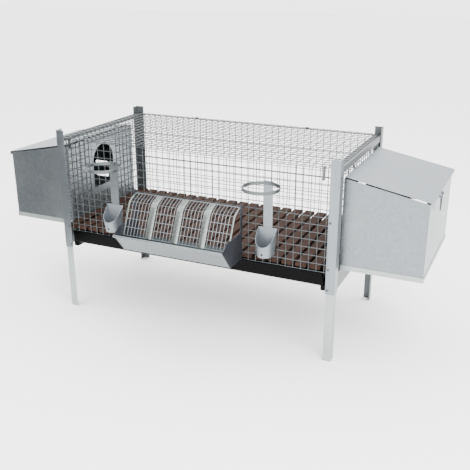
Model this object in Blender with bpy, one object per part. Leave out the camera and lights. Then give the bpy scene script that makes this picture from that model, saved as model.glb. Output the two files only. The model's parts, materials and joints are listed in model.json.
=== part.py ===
"""Wire rabbit cage on four legs, with a sheet metal nest box on each end.

The cage stands on angle legs nested in angle posts. Five welded wire panels close it, the roof panel opens
as a lid, and a slatted floor mat lies on bearers above a pull-out dropping tray. A feeder with a hinged
grille and two bottle holders hang on the front. Metres, +Z up, the front faces -Y, the feet stand on Z = 0.
"""

import math

import bmesh
import bpy
from mathutils import Matrix, Vector

# ---------------------------------------------------------------- driving dimensions
CAGE_WIDTH = 1.000  # over the outer faces of the posts, along X
CAGE_DEPTH = 0.516  # over the outer faces of the posts, along Y
POST_TOP = 0.655
POST_BOTTOM = 0.232
LEG_TOP = 0.474

GAP = 0.0003  # between two pieces that touch
STEEL = 0.0015  # posts, legs and rails
SHEET = 0.0012  # nests, feeder and holders
POST_FLANGE = 0.030
LEG_FLANGE = 0.0265

# Welded mesh
MESH = 0.025  # wire pitch, both ways
WIRE = 0.002
MESH_STEP = 3  # one wire in this many is modelled
MESH_BOTTOM = 0.300  # lowest wire of the walls
WALL_ROWS = 13  # cells up a wall
WIDTH_MARGIN = 0.0125  # from a post's outer face to the first upright wire
DEPTH_MARGIN = 0.0205

# Bolts
BOLT_SHANK = 0.0022  # radius
BOLT_HOLE = 0.0026
BOLT_HEAD = 0.0042  # radius of head and nut
HEAD_HEIGHT = 0.0030
NUT_HEIGHT = 0.0040
BOLT_INSET = 0.0235  # from the post's outer side face

# Top rails
TOP_RAIL_WIDTH = 0.028
TOP_RAIL_DROP = 0.0175

# Floor
FLOOR_RAIL_WIDTH = 0.0250
FLOOR_RAIL_HEIGHT = 0.0574
BEARER_WIDTH = 0.020
BEARER_HEIGHT = 0.010
BEARER_INSET = 0.138  # bearers' centre lines from the mat's ends
SLAT_PITCH = 0.0453  # evened so that whole slats fill the cage
MAT_END_PLAY = 0.0011  # to the end panels
SLAT_GAP = 0.010
SLAT_THICKNESS = 0.012
MAT_CLEARANCE = 0.0024  # to the front and back panels
RIB_WIDTH = 0.008

# Tray
TRAY_HEIGHT = 0.031
TRAY_WALL = 0.0025
TRAY_CORNER = 0.008
TRAY_FRONT_SET = 0.0012  # from the front posts' face
TRAY_BACK_SET = 0.0096
TRAY_FRONT_TOP = 0.2975
TRAY_SIDE_PLAY = 0.001
TRAY_TOP_PLAY = 0.006
RUNNER_WEB = 0.003
RUNNER_LEDGE = 0.0145
RUNNER_DEPTH = 0.0165

# Roof
HINGE_CELLS = 9  # from the middle cell to each hinge clip
HINGE_CLIP_WIDTH = 0.010
CLIP_BORE = 0.00175
CLIP_WALL = 0.00115
LID_CLIP_CELLS = 1  # whole cells between the roof's end and each lid clip's cell
LID_CLIP_WIDTH = 0.008
LID_CLIP_DROP = 0.034
LID_CLIP_PLAY = 0.0006
ROLL_GAP = 0.0005  # under the roof, so its rear wire can turn above the rails
ROOF_MARGIN = 0.008  # least distance from the posts' faces to the roof's front and rear wires

# Feeder
FEEDER_WIDTH = 0.385
FEEDER_CUT_ROWS = (1, 6)  # cells cut away behind it
TROUGH_FLOOR = 0.304
TROUGH_REACH = 0.089
LIP_REACH = 0.144
LIP_HEIGHT = 0.371
LIP_BEAD = 0.0030
TROUGH_BACK_HEIGHT = 0.020
CHEEK_TOP = 0.486
CHEEK_SHOULDER = 0.110  # out from the front face
CHEEK_SHOULDER_HEIGHT = 0.392
CHEEK_ARM = 0.0135  # reach of the upright arm that holds the grille's rod
CHEEK_FILLET = 0.012
GRILLE_PIVOT = (0.0060, 0.4740)  # out from the front face, up
GRILLE_FOLD = (0.0450, 0.4590)
GRILLE_FOOT = (0.0940, 0.3570)
GRILLE_ROD = 0.0016
GRILLE_RIB = 0.023
GRILLE_EDGE = 0.006  # width of the two edge strips
GRILLE_BAYS = 4
GRILLE_SHEET = 0.0016
GRILLE_SIDE_PLAY = 0.001
GRILLE_CROSS_WIRES = 5

# Bottle holders
HOLDER_X = 0.278
STRAP_WIDTH = 0.030
STRAP_BOTTOM = 0.395
STRAP_TOP = 0.568
RING_RADIUS = 0.057
RING_BAND = 0.011
RING_HEIGHT = 0.561
CUP_WIDTH = 0.064
CUP_REACH = 0.062
CUP_BOTTOM = 0.334
CUP_BACK_TOP = 0.420
CUP_FRONT_TOP = 0.361
CUP_HOLE = 0.004
CUP_TAPER = 0.74  # width and reach at the bottom, as a share of those at the rim

# Nest boxes
NEST_REACH = 0.250  # beyond the post's outer face
NEST_ROOM = 0.023  # along Y, between each post's flange and the nest
NEST_BOTTOM = 0.300
NEST_INNER_TOP = 0.5885
NEST_OUTER_TOP = 0.5400
ENTRY_CUT_ROWS = (3, 11)  # cells cut away around the entry hole
ENTRY_WIDTH = 0.130
ENTRY_SILL = 0.400
ENTRY_TOP = 0.555
HOOK_CELLS = 4  # from the middle cell to each hook
HOOK_WIDTH = 0.012
HOOK_ROW = 12
SLOT_WIDTH = 0.060
SLOT_HEIGHT = 0.013
SLOT_HEIGHTS = (0.367, 0.419)
SLOT_FROM_OUTER = 0.100
PAN_RIM = 0.016
LID_OVERHANG = 0.008
LID_LIP = 0.012
LID_LIFT = 0.0050  # between the walls' top edge and the lid
LID_SIDE_OVERHANG = 0.0025
BAIL_Y = -0.080  # from the nest's middle
BAIL_WIRE = 0.0015  # radius
BAIL_HALF = 0.0165
BAIL_DROP = 0.050
EAR_THICKNESS = 0.002
EAR_REACH = 0.008
EAR_BORE = 0.0019

# ---------------------------------------------------------------- places worked out from them
HALF = CAGE_WIDTH / 2
LIP_RISE = math.atan2(LIP_HEIGHT - TROUGH_FLOOR, TROUGH_REACH - LIP_REACH)  # of the trough's front plate
FRONT_OVERHANG = LIP_REACH + LIP_BEAD * (1 + math.sin(LIP_RISE)) + SHEET
OVERALL_DEPTH = FRONT_OVERHANG + CAGE_DEPTH + HEAD_HEIGHT + GAP
FRONT = -OVERALL_DEPTH / 2 + FRONT_OVERHANG  # front face of the front posts
BACK = FRONT + CAGE_DEPTH
MIDDLE = (FRONT + BACK) / 2

LEG_FACE = STEEL + GAP  # depth of each layer inside a post's outer face
LEG_INNER = LEG_FACE + STEEL
PANEL_FACE = LEG_INNER + GAP
PANEL_INNER = PANEL_FACE + WIRE
PLATE_FACE = PANEL_FACE - GAP - STEEL  # flat pieces hung on the front of the front panel

WALL_TOP = MESH_BOTTOM + WALL_ROWS * MESH
SLAT_RUN = CAGE_WIDTH - 2 * (PANEL_INNER + MAT_END_PLAY) + SLAT_GAP
SLAT_COUNT = round(SLAT_RUN / SLAT_PITCH)
SLAT_STEP = SLAT_RUN / SLAT_COUNT
ROOF_SIDE_CELLS = int((CAGE_DEPTH - 2 * ROOF_MARGIN) / MESH + 0.01)
WIDTH_CELLS = round((CAGE_WIDTH - 2 * WIDTH_MARGIN) / MESH)
DEPTH_CELLS = round((CAGE_DEPTH - 2 * DEPTH_MARGIN) / MESH)
FEEDER_CUT = int(FEEDER_WIDTH / MESH)  # columns that the feeder covers, evened to sit in the middle
FEEDER_CUT -= (WIDTH_CELLS - FEEDER_CUT) % 2
FEEDER_CUT_START = (WIDTH_CELLS - FEEDER_CUT) // 2
FEEDER_WINDOW = (FEEDER_CUT_START, FEEDER_CUT_START + FEEDER_CUT, *FEEDER_CUT_ROWS)
ENTRY_CUT = math.ceil(ENTRY_WIDTH / MESH)  # columns that clear the entry hole
ENTRY_CUT += (DEPTH_CELLS - ENTRY_CUT) % 2
ENTRY_CUT_START = (DEPTH_CELLS - ENTRY_CUT) // 2
ENTRY_WINDOW = (ENTRY_CUT_START, ENTRY_CUT_START + ENTRY_CUT, *ENTRY_CUT_ROWS)
WIDE_CELL = 0 if WIDTH_CELLS % 2 else MESH / 2  # from the middle to the centre of the cell there
DEEP_CELL = 0 if DEPTH_CELLS % 2 else MESH / 2
ROOF_HINGE_X = WIDE_CELL + HINGE_CELLS * MESH
LID_CLIP_X = (WIDTH_CELLS / 2 - LID_CLIP_CELLS - 0.5) * MESH
HOOK_Y = DEEP_CELL + HOOK_CELLS * MESH

TOP_RAIL_UNDER = WALL_TOP + WIRE / 2 + GAP
ROOF_UNDER = TOP_RAIL_UNDER + STEEL + ROLL_GAP
ROOF_Z = ROOF_UNDER + WIRE / 2
ROOF_FRONT = MIDDLE - ROOF_SIDE_CELLS * MESH / 2
ROOF_BACK = MIDDLE + ROOF_SIDE_CELLS * MESH / 2

MAT_UNDER = MESH_BOTTOM + 0.004
MAT_HALF_DEPTH = CAGE_DEPTH / 2 - PANEL_INNER - MAT_CLEARANCE
FLOOR_RAIL_TOP = MAT_UNDER - GAP - BEARER_HEIGHT - GAP
RUNNER_TOP = FLOOR_RAIL_TOP - STEEL - GAP
TRAY_TOP = RUNNER_TOP - TRAY_TOP_PLAY
TRAY_BOTTOM = TRAY_TOP - TRAY_HEIGHT
RUNNER_FACE = HALF - POST_FLANGE - 2 * GAP - RUNNER_WEB
TRAY_HALF_WIDTH = RUNNER_FACE - TRAY_SIDE_PLAY
BOLT_HEIGHTS = (POST_BOTTOM + 0.013, MESH_BOTTOM + MESH / 2, MESH_BOTTOM + 6.5 * MESH)

NEST_LENGTH = CAGE_DEPTH - 2 * (POST_FLANGE + NEST_ROOM)
NEST_INNER = HALF - PANEL_FACE + GAP  # face of the inner wall against the end panel
NEST_OUTER = HALF + NEST_REACH
NEST_WALL_START = NEST_INNER + SHEET + GAP
LID_PIVOT_X = HALF + 0.0005
LID_SLOPE = math.atan2(NEST_INNER_TOP - NEST_OUTER_TOP, NEST_OUTER - HALF)
LID_PIVOT_Z = NEST_INNER_TOP + LID_LIFT + SHEET
LID_RUN = (NEST_OUTER + LID_OVERHANG - LID_PIVOT_X) / math.cos(LID_SLOPE)
LID_HALF_LENGTH = NEST_LENGTH / 2 + LID_SIDE_OVERHANG


# ---------------------------------------------------------------- tools
def finish(name, colour, metallic, roughness):
    """Makes a Principled material of its own for one piece."""
    material = bpy.data.materials.new(name + "_finish")
    material.use_nodes = True
    shader = material.node_tree.nodes["Principled BSDF"]
    shader.inputs["Base Color"].default_value = (*colour, 1.0)
    shader.inputs["Metallic"].default_value = metallic
    shader.inputs["Roughness"].default_value = roughness
    material.diffuse_color = (*colour, 1.0)
    return material


GALVANISED = ((0.62, 0.66, 0.68), 0.85, 0.42)
ZINC_LEG = ((0.68, 0.73, 0.71), 0.80, 0.45)
ZINC_WIRE = ((0.60, 0.64, 0.66), 0.90, 0.38)
ZINC_BOLT = ((0.50, 0.53, 0.55), 0.90, 0.35)
BROWN_PLASTIC = ((0.25, 0.13, 0.09), 0.0, 0.55)
BLACK_PLASTIC = ((0.012, 0.013, 0.014), 0.0, 0.35)


def add_object(name, bm, look, origin=(0.0, 0.0, 0.0), smooth=False):
    """Turns a bmesh drawn in world coordinates into an object with its origin at the given point."""
    bmesh.ops.recalc_face_normals(bm, faces=bm.faces)
    bmesh.ops.translate(bm, verts=bm.verts, vec=-Vector(origin))
    mesh = bpy.data.meshes.new(name)
    bm.to_mesh(mesh)
    bm.free()
    piece = bpy.data.objects.new(name, mesh)
    piece.location = origin
    bpy.context.scene.collection.objects.link(piece)
    if look is not None:
        mesh.materials.append(finish(name, *look))
    if smooth:
        mesh.shade_smooth()
        mesh.set_sharp_from_angle(angle=math.radians(35))
    return piece


def add_box(bm, low, high):
    """Adds a box between two corners and returns its vertices."""
    size = [b - a for a, b in zip(low, high)]
    centre = [(a + b) / 2 for a, b in zip(low, high)]
    place = Matrix.Translation(centre) @ Matrix.Diagonal((*size, 1.0))
    return bmesh.ops.create_cube(bm, size=1.0, matrix=place)["verts"]


def on_plane(axis, across, up, depth):
    """Maps a point drawn across and up onto the plane square to an axis."""
    if axis == "X":
        return Vector((depth, across, up))
    if axis == "Y":
        return Vector((across, depth, up))
    return Vector((across, up, depth))


def add_prism(bm, outline, axis, start, end):
    """Extrudes a closed outline along an axis."""
    face = bm.faces.new([bm.verts.new(on_plane(axis, a, b, start)) for a, b in outline])
    grown = bmesh.ops.extrude_face_region(bm, geom=[face])["geom"]
    moved = [v for v in grown if isinstance(v, bmesh.types.BMVert)]
    bmesh.ops.translate(bm, verts=moved, vec=on_plane(axis, 0, 0, end) - on_plane(axis, 0, 0, start))
    return moved


def arc(centre, radius, start, end, steps):
    """Points along a circular arc, in degrees, both ends included."""
    turns = [math.radians(start + (end - start) * i / steps) for i in range(steps + 1)]
    return [(centre[0] + radius * math.cos(t), centre[1] + radius * math.sin(t)) for t in turns]


def folded_sheet(path, thickness):
    """Outline of a sheet folded along a path, its thickness laid on the path's left-hand side."""
    points = [Vector(p) for p in path]
    steps = [(b - a).normalized() for a, b in zip(points, points[1:])]
    lefts = [Vector((-s.y, s.x)) for s in steps]
    offsets = [lefts[0]]
    offsets += [(a + b) / (1 + a.dot(b)) for a, b in zip(lefts, lefts[1:])]
    offsets.append(lefts[-1])
    other = [p + thickness * o for p, o in zip(points, offsets)]
    return [tuple(p) for p in points] + [tuple(p) for p in reversed(other)]


def mirrored(outline, side):
    """Flips an outline across X = 0 for the left-hand side."""
    return [(side * a, b) for a, b in outline]


def add_cutter(name, bm):
    """Makes a hidden object that a Boolean subtracts or adds."""
    cutter = add_object(name, bm, None)
    cutter.hide_render = True
    cutter.display_type = "WIRE"
    return cutter


def round_cutter(name, centre, axis, radius, length, sides=12):
    """A hidden cylinder along one axis."""
    turn = {"X": Matrix.Rotation(math.pi / 2, 4, "Y"), "Y": Matrix.Rotation(math.pi / 2, 4, "X")}[axis]
    bm = bmesh.new()
    bmesh.ops.create_cone(
        bm, cap_ends=True, segments=sides, radius1=radius, radius2=radius, depth=length,
        matrix=Matrix.Translation(centre) @ turn,
    )
    return add_cutter(name, bm)


def boolean(piece, cutter, operation="DIFFERENCE"):
    """Adds an exact Boolean to a piece."""
    modifier = piece.modifiers.new(cutter.name, "BOOLEAN")
    modifier.operation = operation
    modifier.solver = "EXACT"
    modifier.object = cutter


def bars(centres, width):
    """Strips of one width around a list of centre lines."""
    return [(c - width / 2, c + width / 2) for c in centres]


def inside(value, strips):
    return any(low < value < high for low, high in strips)


def add_lattice(bm, uprights, levels, across, up, axis, near, far, window=None):
    """Cuts a plate into crossed bars: bands given across and up, kept, and every field between removed."""
    corners = [(across[0], up[0]), (across[1], up[0]), (across[1], up[1]), (across[0], up[1])]
    bm.faces.new([bm.verts.new(on_plane(axis, a, b, near)) for a, b in corners])
    cuts = [(on_plane(axis, c, 0, near), on_plane(axis, 1, 0, 0)) for strip in uprights for c in strip]
    cuts += [(on_plane(axis, 0, c, near), on_plane(axis, 0, 1, 0)) for strip in levels for c in strip]
    for point, normal in cuts:
        everything = bm.verts[:] + bm.edges[:] + bm.faces[:]
        bmesh.ops.bisect_plane(bm, geom=everything, dist=1e-6, plane_co=point, plane_no=normal)
    gone = []
    for face in bm.faces:
        centre = face.calc_center_median()
        a, b = {"X": (centre.y, centre.z), "Y": (centre.x, centre.z), "Z": (centre.x, centre.y)}[axis]
        cut_out = window and window[0] < a < window[1] and window[2] < b < window[3]
        if cut_out or not (inside(a, uprights) or inside(b, levels)):
            gone.append(face)
    bmesh.ops.delete(bm, geom=gone, context="FACES")
    grown = bmesh.ops.extrude_face_region(bm, geom=bm.faces[:])["geom"]
    moved = [v for v in grown if isinstance(v, bmesh.types.BMVert)]
    bmesh.ops.translate(bm, verts=moved, vec=on_plane(axis, 0, 0, far) - on_plane(axis, 0, 0, near))


def kept_wires(cells, extra=()):
    """Numbers of the wires that are modelled: every third, the last, and the borders of a cut-out."""
    return sorted(set(range(0, cells + 1, MESH_STEP)) | {cells} | set(extra))


def wire_panel(
    name, axis, near, first_across, across_cells, first_up, up_cells, window=None, origin=(0, 0, 0),
):
    """A flat welded wire panel. A cut-out is given as its first and last column, then row."""
    columns_at_window = window[:2] if window else ()
    rows_at_window = window[2:] if window else ()
    columns = [first_across + MESH * i for i in kept_wires(across_cells, columns_at_window)]
    rows = [first_up + MESH * j for j in kept_wires(up_cells, rows_at_window)]
    hole = None
    if window:
        hole = (
            first_across + MESH * window[0] + WIRE / 2, first_across + MESH * window[1] - WIRE / 2,
            first_up + MESH * window[2] + WIRE / 2, first_up + MESH * window[3] - WIRE / 2,
        )
    bm = bmesh.new()
    add_lattice(
        bm, bars(columns, WIRE), bars(rows, WIRE),
        (columns[0] - WIRE / 2, columns[-1] + WIRE / 2), (rows[0] - WIRE / 2, rows[-1] + WIRE / 2),
        axis, near, near + WIRE, hole,
    )
    return add_object(name, bm, ZINC_WIRE, origin)


def angle_outline(corner, flange, thickness, to_x, to_y):
    """Plan of an angle section whose outer corner is given and whose flanges run the given ways."""
    points = [(0, 0), (flange, 0), (flange, thickness)]
    points += [(thickness, thickness), (thickness, flange), (0, flange)]
    return [(corner[0] + to_x * a, corner[1] + to_y * b) for a, b in points]


# ---------------------------------------------------------------- frame
def build_corner(side, end):
    """Post, leg and three bolts at one corner; side is -1 left or 1 right, end is -1 front or 1 back."""
    label = ("front" if end < 0 else "back") + "_" + ("left" if side < 0 else "right")
    face = FRONT if end < 0 else BACK
    bm = bmesh.new()
    outline = angle_outline((side * HALF, face), POST_FLANGE, STEEL, -side, -end)
    add_prism(bm, outline, "Z", POST_BOTTOM, POST_TOP)
    post = add_object("post_" + label, bm, GALVANISED)
    bm = bmesh.new()
    leg_corner = (side * (HALF - LEG_FACE), face - end * LEG_FACE)
    add_prism(bm, angle_outline(leg_corner, LEG_FLANGE, STEEL, -side, -end), "Z", 0.0, LEG_TOP)
    leg = add_object("leg_" + label, bm, ZINC_LEG)
    holes = []
    for number, height in enumerate(BOLT_HEIGHTS):
        centre = (side * (HALF - BOLT_INSET), face, height)
        hole = round_cutter("hole_%s_%d" % (label, number), centre, "Y", BOLT_HOLE, 0.03)
        boolean(post, hole)
        boolean(leg, hole)
        holes.append(hole)
        grip = LEG_INNER + GAP + (STEEL + GAP if number == 0 else 0.0)
        build_bolt("bolt_%s_%d" % (label, number + 1), centre, end, grip)
    return holes[0]


def build_bolt(name, centre, end, grip):
    """Round-headed bolt with its nut on, turned about Y; the head lies on the outer face."""
    profile = [
        (0, -GAP - HEAD_HEIGHT), (BOLT_HEAD * 0.62, -GAP - HEAD_HEIGHT), (BOLT_HEAD, -GAP - HEAD_HEIGHT * 0.35),
        (BOLT_HEAD, -GAP), (BOLT_SHANK, -GAP), (BOLT_SHANK, grip), (BOLT_HEAD, grip),
        (BOLT_HEAD, grip + NUT_HEIGHT), (0, grip + NUT_HEIGHT),
    ]
    bm = bmesh.new()
    verts = [bm.verts.new((centre[0] + r, centre[1] - end * d, centre[2])) for r, d in profile]
    edges = [bm.edges.new(pair) for pair in zip(verts, verts[1:])]
    bmesh.ops.spin(
        bm, geom=verts + edges, cent=centre, axis=(0, 1, 0), angle=2 * math.pi, steps=8, use_merge=True,
    )
    bmesh.ops.remove_doubles(bm, verts=bm.verts, dist=1e-5)
    return add_object(name, bm, ZINC_BOLT, centre, smooth=True)


def build_top_rail(side):
    """Angle along the top of one end: its flat flange carries the roof, its drop lies inside the posts."""
    outer = HALF - LEG_FACE
    bm = bmesh.new()
    top = TOP_RAIL_UNDER + STEEL
    path = [(outer, TOP_RAIL_UNDER - TOP_RAIL_DROP), (outer, top), (outer - TOP_RAIL_WIDTH, top)]
    add_prism(bm, mirrored(folded_sheet(path, STEEL), side), "Y", FRONT + LEG_FACE, BACK - LEG_FACE)
    add_object("top_rail_" + ("left" if side < 0 else "right"), bm, GALVANISED)


def build_floor_rail(side, holes):
    """Side rail under the floor: a flat ledge, a deep outer side and a bolted tab at each end."""
    outer = HALF - PANEL_FACE
    bm = bmesh.new()
    near = min(side * outer, side * (outer - FLOOR_RAIL_WIDTH))
    low = (near, FRONT + PANEL_FACE, FLOOR_RAIL_TOP - FLOOR_RAIL_HEIGHT)
    high = (max(side * outer, side * (outer - FLOOR_RAIL_WIDTH)), BACK - PANEL_FACE, FLOOR_RAIL_TOP)
    add_box(bm, low, high)
    open_faces = [f for f in bm.faces if f.normal.z < -0.5 or f.normal.x * side < -0.5]
    bmesh.ops.delete(bm, geom=open_faces, context="FACES")
    rail = add_object("floor_rail_" + ("left" if side < 0 else "right"), bm, GALVANISED)
    thicken(rail, STEEL)
    for hole in holes:
        boolean(rail, hole)


def thicken(piece, thickness, offset=-1.0):
    """Gives an open sheet its thickness, inwards unless told otherwise."""
    modifier = piece.modifiers.new("thickness", "SOLIDIFY")
    modifier.thickness = thickness
    modifier.offset = offset
    modifier.use_even_offset = True
    modifier.use_quality_normals = True


def build_bearers():
    """Two inverted channels from side to side, on the floor rails' ledges."""
    half_length = HALF - PANEL_INNER - 0.0014
    half = BEARER_WIDTH / 2
    top = MAT_UNDER - GAP
    reach = MAT_HALF_DEPTH - BEARER_INSET
    for name, y in (("front", MIDDLE - reach), ("back", MIDDLE + reach)):
        foot = top - BEARER_HEIGHT
        path = [(y + half, foot), (y + half, top), (y - half, top), (y - half, foot)]
        bm = bmesh.new()
        add_prism(bm, folded_sheet(path, STEEL), "X", -half_length, half_length)
        add_object("floor_bearer_" + name, bm, GALVANISED)


def build_mat():
    """Slatted floor mat: slats run front to back and two ribs tie them over the bearers."""
    slat = SLAT_STEP - SLAT_GAP
    first = -SLAT_STEP * (SLAT_COUNT - 1) / 2
    slats = bars([first + SLAT_STEP * i for i in range(SLAT_COUNT)], slat)
    reach = MAT_HALF_DEPTH - BEARER_INSET
    ribs = bars([MIDDLE - reach, MIDDLE + reach], RIB_WIDTH)
    bm = bmesh.new()
    add_lattice(
        bm, slats, ribs, (slats[0][0], slats[-1][1]), (MIDDLE - MAT_HALF_DEPTH, MIDDLE + MAT_HALF_DEPTH),
        "Z", MAT_UNDER, MAT_UNDER + SLAT_THICKNESS,
    )
    add_object("slatted_floor_mat", bm, BROWN_PLASTIC)


def build_tray():
    """Open black dropping tray with rounded lower edges and a front that rises to the mesh."""
    front = FRONT + TRAY_FRONT_SET
    back = BACK - TRAY_BACK_SET
    bm = bmesh.new()
    add_box(bm, (-TRAY_HALF_WIDTH, front, TRAY_BOTTOM), (TRAY_HALF_WIDTH, back, TRAY_TOP))
    bmesh.ops.delete(bm, geom=[f for f in bm.faces if f.normal.z > 0.5], context="FACES")
    rounded = [e for e in bm.edges if len(e.link_faces) == 2]
    bmesh.ops.bevel(
        bm, geom=rounded, offset=TRAY_CORNER, segments=3, profile=0.5, affect="EDGES", material=-1,
    )
    tray = add_object("dropping_tray", bm, BLACK_PLASTIC, (0, front, TRAY_BOTTOM), smooth=True)
    thicken(tray, TRAY_WALL)
    half = TRAY_HALF_WIDTH - TRAY_CORNER
    bm = bmesh.new()
    low = (-half, front + 0.0002, TRAY_TOP - 0.010)
    add_box(bm, low, (half, front + TRAY_WALL - 0.0002, TRAY_FRONT_TOP))
    boolean(tray, add_cutter("tray_fascia", bm), "UNION")


def build_runner(side):
    """Black runner that hangs under a floor rail and carries one side of the tray."""
    outer = HALF - PANEL_FACE - STEEL - GAP
    web = RUNNER_FACE
    ledge = TRAY_BOTTOM - GAP
    outline = [
        (outer, RUNNER_TOP), (outer, RUNNER_TOP - RUNNER_WEB), (web + RUNNER_WEB, RUNNER_TOP - RUNNER_WEB),
        (web + RUNNER_WEB, ledge - RUNNER_DEPTH), (web - RUNNER_LEDGE, ledge - RUNNER_DEPTH),
        (web - RUNNER_LEDGE, ledge), (web, ledge), (web, RUNNER_TOP),
    ]
    ends = LEG_INNER + STEEL + 3 * GAP + NUT_HEIGHT + 2 * GAP
    bm = bmesh.new()
    add_prism(bm, mirrored(outline, side), "Y", FRONT + ends, BACK - ends)
    add_object("tray_runner_" + ("left" if side < 0 else "right"), bm, BLACK_PLASTIC)


# ---------------------------------------------------------------- mesh walls and roof
def build_walls():
    """Front, back and end panels, with the feeder's and the nests' cut-outs."""
    first_x = -WIDTH_CELLS * MESH / 2
    first_y = MIDDLE - DEPTH_CELLS * MESH / 2
    wire_panel(
        "front_panel", "Y", FRONT + PANEL_FACE, first_x, WIDTH_CELLS, MESH_BOTTOM, WALL_ROWS, FEEDER_WINDOW,
    )
    wire_panel("back_panel", "Y", BACK - PANEL_INNER, first_x, WIDTH_CELLS, MESH_BOTTOM, WALL_ROWS)
    for side, name in ((-1, "left"), (1, "right")):
        near = HALF - PANEL_INNER if side > 0 else -HALF + PANEL_FACE
        wire_panel(
            "end_panel_" + name, "X", near, first_y, DEPTH_CELLS, MESH_BOTTOM, WALL_ROWS, ENTRY_WINDOW,
        )


def build_roof():
    """Roof panel: it lies on the top rails and turns about its rear wire."""
    wire_panel(
        "roof_panel", "Z", ROOF_UNDER, -WIDTH_CELLS * MESH / 2, WIDTH_CELLS, ROOF_FRONT, ROOF_SIDE_CELLS,
        origin=(0, ROOF_BACK, ROOF_Z),
    )


def build_roof_hinge(side):
    """Clip with two bores, around the roof's rear wire and the back panel's top wire."""
    upper = (ROOF_BACK, ROOF_Z)
    lower = (BACK - PANEL_INNER + WIRE / 2, WALL_TOP)
    lean = math.degrees(math.atan2(upper[1] - lower[1], upper[0] - lower[0]))
    radius = CLIP_BORE + CLIP_WALL
    outline = arc(upper, radius, lean - 90, lean + 90, 8) + arc(lower, radius, lean + 90, lean + 270, 8)
    low, high = side * ROOF_HINGE_X - HINGE_CLIP_WIDTH / 2, side * ROOF_HINGE_X + HINGE_CLIP_WIDTH / 2
    bm = bmesh.new()
    add_prism(bm, outline, "X", low, high)
    name = "roof_hinge_" + ("left" if side < 0 else "right")
    clip = add_object(name, bm, ZINC_BOLT)
    for number, (y, z) in enumerate((upper, lower)):
        place = (side * ROOF_HINGE_X, y, z)
        boolean(clip, round_cutter("%s_bore_%d" % (name, number), place, "X", CLIP_BORE, 0.03))


def build_lid_clip(side):
    """Clip that swings on the roof's front wire and hangs down the face of the front panel."""
    centre = (ROOF_FRONT, ROOF_Z)
    radius = CLIP_BORE + CLIP_WALL
    half = SHEET / 2
    reach = ROOF_FRONT - (FRONT + PANEL_FACE - LID_CLIP_PLAY)
    opening = math.degrees(math.asin(half / radius))
    eye = arc(centre, radius, 180 - opening, -180 + opening, 14)
    foot = LID_CLIP_DROP
    tail = [
        (-reach, -half), (-reach, -foot), (-reach - 0.004, -foot - 0.005), (-reach - 0.005, -foot - 0.004),
        (-reach - SHEET, -foot + 0.0004), (-reach - SHEET, half),
    ]
    outline = eye + [(centre[0] + a, centre[1] + b) for a, b in tail]
    low, high = side * LID_CLIP_X - LID_CLIP_WIDTH / 2, side * LID_CLIP_X + LID_CLIP_WIDTH / 2
    bm = bmesh.new()
    add_prism(bm, outline, "X", low, high)
    name = "lid_clip_" + ("left" if side < 0 else "right")
    clip = add_object(name, bm, ZINC_BOLT, (side * LID_CLIP_X, *centre))
    boolean(clip, round_cutter(name + "_bore", (side * LID_CLIP_X, *centre), "X", CLIP_BORE, 0.03))


# ---------------------------------------------------------------- feeder
def build_trough():
    """Feed trough folded from one sheet, with a rolled lip."""
    half = FEEDER_WIDTH / 2 - SHEET - GAP
    back = FRONT + PLATE_FACE
    lip = (FRONT - LIP_REACH, LIP_HEIGHT)
    toe = (FRONT - TROUGH_REACH, TROUGH_FLOOR)
    rise = math.degrees(LIP_RISE)
    bead_centre = (lip[0] - LIP_BEAD * math.sin(LIP_RISE), lip[1] + LIP_BEAD * math.cos(LIP_RISE))
    curl = arc(bead_centre, LIP_BEAD, rise - 90, rise + 130, 8)
    path = [(back, TROUGH_FLOOR + TROUGH_BACK_HEIGHT), (back, TROUGH_FLOOR), toe] + curl
    bm = bmesh.new()
    add_prism(bm, folded_sheet(path, -SHEET), "X", -half, half)
    add_object("feed_trough", bm, GALVANISED)


def build_cheek(side):
    """End plate of the trough, with an upright arm at the back that holds the grille's rod."""
    back = FRONT + PLATE_FACE
    lip = (FRONT - LIP_REACH - LIP_BEAD * 0.6, LIP_HEIGHT)
    arm = FRONT - CHEEK_ARM
    corner = (arm - CHEEK_FILLET, CHEEK_SHOULDER_HEIGHT + CHEEK_FILLET)
    outline = [(back, TROUGH_FLOOR - 0.0015), (FRONT - TROUGH_REACH, TROUGH_FLOOR - 0.0015), lip]
    outline.append((FRONT - CHEEK_SHOULDER, CHEEK_SHOULDER_HEIGHT))
    outline += arc(corner, CHEEK_FILLET, -90, 0, 5) + [(arm, CHEEK_TOP), (back, CHEEK_TOP)]
    outer = FEEDER_WIDTH / 2
    low, high = (outer - SHEET, outer) if side > 0 else (-outer, -outer + SHEET)
    bm = bmesh.new()
    add_prism(bm, outline, "X", low, high)
    name = "feeder_cheek_" + ("left" if side < 0 else "right")
    cheek = add_object(name, bm, GALVANISED)
    pivot = (side * outer, FRONT - GRILLE_PIVOT[0], GRILLE_PIVOT[1])
    boolean(cheek, round_cutter(name + "_bore", pivot, "X", GRILLE_ROD + 0.0004, 0.02))


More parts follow.
